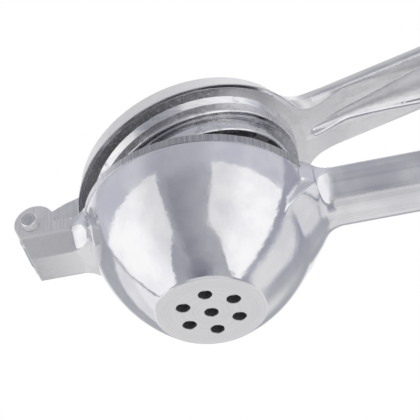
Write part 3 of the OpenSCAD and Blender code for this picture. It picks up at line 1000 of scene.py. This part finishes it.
def studio():
    """Two big softboxes before the object, a dark gap between them, pale walls and ceiling."""
    world = bpy.data.worlds.new("studio")
    bpy.context.scene.world = world
    world.use_nodes = True
    t = Tree(world.node_tree)
    t.nodes.clear()
    coord = t.nodes.new("ShaderNodeTexCoord")
    split = t.nodes.new("ShaderNodeSeparateXYZ")
    t.links.new(coord.outputs["Generated"], split.inputs[0])
    dx, dy, dz = split.outputs
    deg = 180 / math.pi
    # azimuth from -Y, the camera's side: negative to the left, positive to the right
    az = t.times(t.math("ARCTAN2", dx, t.times(dy, -1.0)), deg)
    el = t.times(t.math("ARCSINE", dz), deg)
    aside = t.math("ABSOLUTE", t.add(az, 10.0))

    colour = t.mix(t.ramp(az, -18, 16), GAP, GAP_SIDE)
    colour = t.mix(t.ramp(az, -19, -29), colour, GAP_SIDE)
    over = t.mix(t.ramp(aside, 12, 45), OVER_GAP, OVER_BOXES)
    over = t.mix(t.ramp(el, 22, 36), over, OVER_HIGH)
    colour = t.mix(t.ramp(el, -6, 10), colour, over)
    under = t.mix(t.ramp(aside, 8, 50), UNDER_GAP, UNDER_BOXES)
    colour = t.mix(t.ramp(el, -46, -64), colour, under)

    def patch(a0, a1, e0, e1, soft):
        """1 between two azimuths and two elevations, with soft edges."""
        past_a0 = t.ramp(t.math("SUBTRACT", az, a0), -soft, soft)
        past_e0 = t.ramp(t.math("SUBTRACT", el, e0), -soft, soft)
        short_a1, short_e1 = t.ramp(az, a1 + soft, a1 - soft), t.ramp(el, e1 + soft, e1 - soft)
        return t.times(past_a0, short_a1, past_e0, short_e1)

    left_foot = t.ramp(az, -30, -66, (-33.0, -50.0))
    left_tone = t.mix(t.ramp(az, -38, -66), SOFTBOX_EDGE, SOFTBOX)
    left_box = patch(*LEFT_BOX, left_foot, SOFTBOX_TOP, 1.2)
    colour = t.mix(left_box, colour, left_tone)
    right_foot = t.ramp(az, 14, 56, (-34.0, -56.0))
    right_side = t.ramp(el, SOFTBOX_TOP, -34, (19.5, 14.0))
    right_tone = t.mix(t.ramp(az, 26, 54), SOFTBOX_EDGE, SOFTBOX)
    right_box = patch(right_side, RIGHT_BOX_END, right_foot, SOFTBOX_TOP, 1.2)
    colour = t.mix(right_box, colour, right_tone)

    # behind the softboxes: a dark stripe, then pale walls that end a little above the level
    colour = t.mix(patch(88.0, 180.0, -90.0, 60.0, 1.0), colour, STRIPE)
    colour = t.mix(t.ramp(az, 120, 140), colour, FAR_WALL)
    colour = t.mix(t.ramp(az, -104, -107), colour, FAR_WALL)
    colour = t.mix(patch(97.0, 127.0, -42.0, 2.0, 5.0), colour, FAR_RIGHT)
    far_left = t.mix(t.ramp(el, -8, -16), FAR_LEFT, FAR_LEFT_LOW)
    colour = t.mix(patch(-160.0, -106.5, -60.0, 4.0, 1.5), colour, far_left)
    far_low = t.mix(t.ramp(dx, -0.06, 0.24), FAR_LOW, FAR_LOW_RIGHT)
    colour = t.mix(t.times(t.ramp(dy, 0.25, 0.5), t.ramp(el, -14, -38)), colour, far_low)
    behind = t.ramp(t.math("ABSOLUTE", az), 140.0, 158.0)
    colour = t.mix(t.times(behind, t.ramp(el, 16, -4)), colour, far_low)

    # the ceiling comes lower at the back
    edge = t.ramp(dy, -0.2, 0.25, (54.0, 27.0))
    overhead = t.mix(t.times(t.ramp(dx, -0.1, 0.25), t.ramp(el, 56, 66)), CEILING, SOFTBOX)
    overhead = t.mix(t.times(t.ramp(dy, 0.0, 0.3), t.ramp(el, 60, 48)), overhead, BACKDROP)
    colour = t.mix(t.ramp(t.math("SUBTRACT", el, edge), -5.0, 5.0), colour, overhead)
    colour = t.mix(t.ramp(el, -68, -73), colour, NADIR)

    path = t.nodes.new("ShaderNodeLightPath")
    background = t.nodes.new("ShaderNodeBackground")
    t.links.new(t.mix(path.outputs["Is Camera Ray"], colour, WHITE), background.inputs["Color"])
    out = t.nodes.new("ShaderNodeOutputWorld")
    t.links.new(background.outputs[0], out.inputs["Surface"])


def pale_floor():
    """A pale floor under the base, seen only from above: the photo's camera looks through it."""
    sides = ((-1, -1), (1, -1), (1, 1), (-1, 1))
    corners = [(a * FLOOR_HALF, b * FLOOR_HALF, FLOOR_LEVEL) for a, b in sides]
    mesh = bpy.data.meshes.new("floor")
    mesh.from_pydata(corners, [], [(0, 1, 2, 3)])
    floor = bpy.data.objects.new("floor", mesh)
    bpy.context.scene.collection.objects.link(floor)
    mat = bpy.data.materials.new("floor_paper")
    mat.use_nodes = True
    t = Tree(mat.node_tree)
    t.nodes.clear()
    path, geometry = t.nodes.new("ShaderNodeLightPath"), t.nodes.new("ShaderNodeNewGeometry")
    above = t.math("SUBTRACT", 1.0, geometry.outputs["Backfacing"])
    seen = t.times(path.outputs["Is Camera Ray"], above)
    clear, paper = t.nodes.new("ShaderNodeBsdfTransparent"), t.nodes.new("ShaderNodeBsdfDiffuse")
    paper.inputs["Color"].default_value = (*FLOOR_PAPER, 1.0)
    glow = t.nodes.new("ShaderNodeEmission")
    glow.inputs["Strength"].default_value = FLOOR_GLOW
    both, pick = t.nodes.new("ShaderNodeAddShader"), t.nodes.new("ShaderNodeMixShader")
    t.links.new(paper.outputs[0], both.inputs[0])
    t.links.new(glow.outputs[0], both.inputs[1])
    t.put(pick.inputs[0], seen)
    t.links.new(clear.outputs[0], pick.inputs[1])
    t.links.new(both.outputs[0], pick.inputs[2])
    out = t.nodes.new("ShaderNodeOutputMaterial")
    t.links.new(pick.outputs[0], out.inputs["Surface"])
    mesh.materials.append(mat)


studio()
pale_floor()

# ---------------------------------------------------------------- camera
# it looks up at the base from below, a little to the right; in degrees and millimetres
CAMERA_AZ, CAMERA_EL, CAMERA_ROLL = 9.27, -40.31, -4.63
CAMERA_TARGET = np.array([2.0, 0.0, 37.73])
CAMERA_DISTANCE = 451.98
FOCAL_PX, FRAME_PX = 1500, 420
SENSOR = 36.0

scene = bpy.context.scene
az_c, el_c, roll = math.radians(CAMERA_AZ), math.radians(CAMERA_EL), math.radians(CAMERA_ROLL)
level = math.cos(el_c)
back_v = np.array([math.sin(az_c) * level, -math.cos(az_c) * level, math.sin(el_c)])
right0 = np.array([math.cos(az_c), math.sin(az_c), 0])
up0 = np.cross(back_v, right0)
right_v = math.cos(roll) * right0 + math.sin(roll) * up0
up_v = -math.sin(roll) * right0 + math.cos(roll) * up0
place = (CAMERA_TARGET + back_v * CAMERA_DISTANCE) * MM

camera = bpy.data.objects.new("camera", bpy.data.cameras.new("camera"))
scene.collection.objects.link(camera)
matrix = Matrix.Identity(4)
for i, column in enumerate((right_v, up_v, back_v, place)):
    for j in range(3):
        matrix[j][i] = column[j]
camera.matrix_world = matrix
camera.data.sensor_width = SENSOR
camera.data.lens = SENSOR * FOCAL_PX / FRAME_PX
camera.data.clip_start = 0.01
scene.camera = camera
scene.view_settings.view_transform = "Standard"
